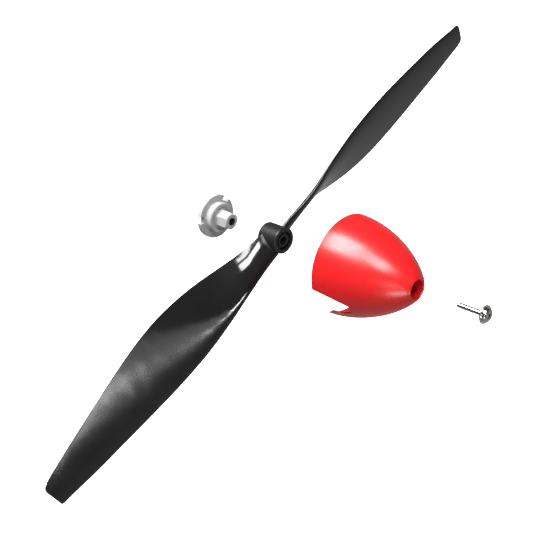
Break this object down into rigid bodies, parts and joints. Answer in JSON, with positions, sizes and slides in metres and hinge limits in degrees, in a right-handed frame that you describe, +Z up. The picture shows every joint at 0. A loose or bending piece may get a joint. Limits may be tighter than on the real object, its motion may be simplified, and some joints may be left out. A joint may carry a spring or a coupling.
{
  "type": "model aircraft propeller",
  "caption": "Small two-blade model aircraft propeller laid out along its shaft axis with a slotted spinner cone, a hex-boss shaft adapter, a washer and a cross-recess screw.",
  "frame": {"origin": "on the shaft axis, at the shaft bore's mouth in the adapter's rear face", "axes": "+Y along the shaft axis towards the motor, nose towards -Y, blades along X, +Z up"},
  "size_m": [0.15, 0.0793, 0.0222],
  "materials": {
    "adapter_plastic": "light grey moulded nylon, satin",
    "blade_plastic": "black moulded nylon, semi-gloss",
    "spinner_plastic": "red moulded plastic, gloss",
    "washer_steel": "nickel-plated steel, bright",
    "screw_steel": "nickel-plated steel, bright"
  },
  "bodies": {
    "shaft_adapter": {"shaft_adapter": "adapter_plastic"},
    "propeller": {"propeller": "blade_plastic"},
    "spinner": {"spinner": "spinner_plastic"},
    "washer": {"washer": "washer_steel"},
    "prop_screw": {"prop_screw": "screw_steel"}
  },
  "joints": [
    {"name": "propeller_seat", "type": "slide", "parent": "shaft_adapter", "child": "propeller", "axis": [0, 1, 0], "range_m": [0, 0.01544]},
    {"name": "spinner_seat", "type": "slide", "parent": "propeller", "child": "spinner", "axis": [0, 1, 0], "range_m": [0, 0.02519]},
    {"name": "washer_seat", "type": "slide", "parent": "spinner", "child": "washer", "axis": [0, 1, 0], "range_m": [0, 0.02763]},
    {"name": "screw_turn", "type": "hinge", "parent": "washer", "child": "prop_screw", "pos_m": [0, -0.07828, 0], "axis": [0, 1, 0], "continuous": true}
  ]
}
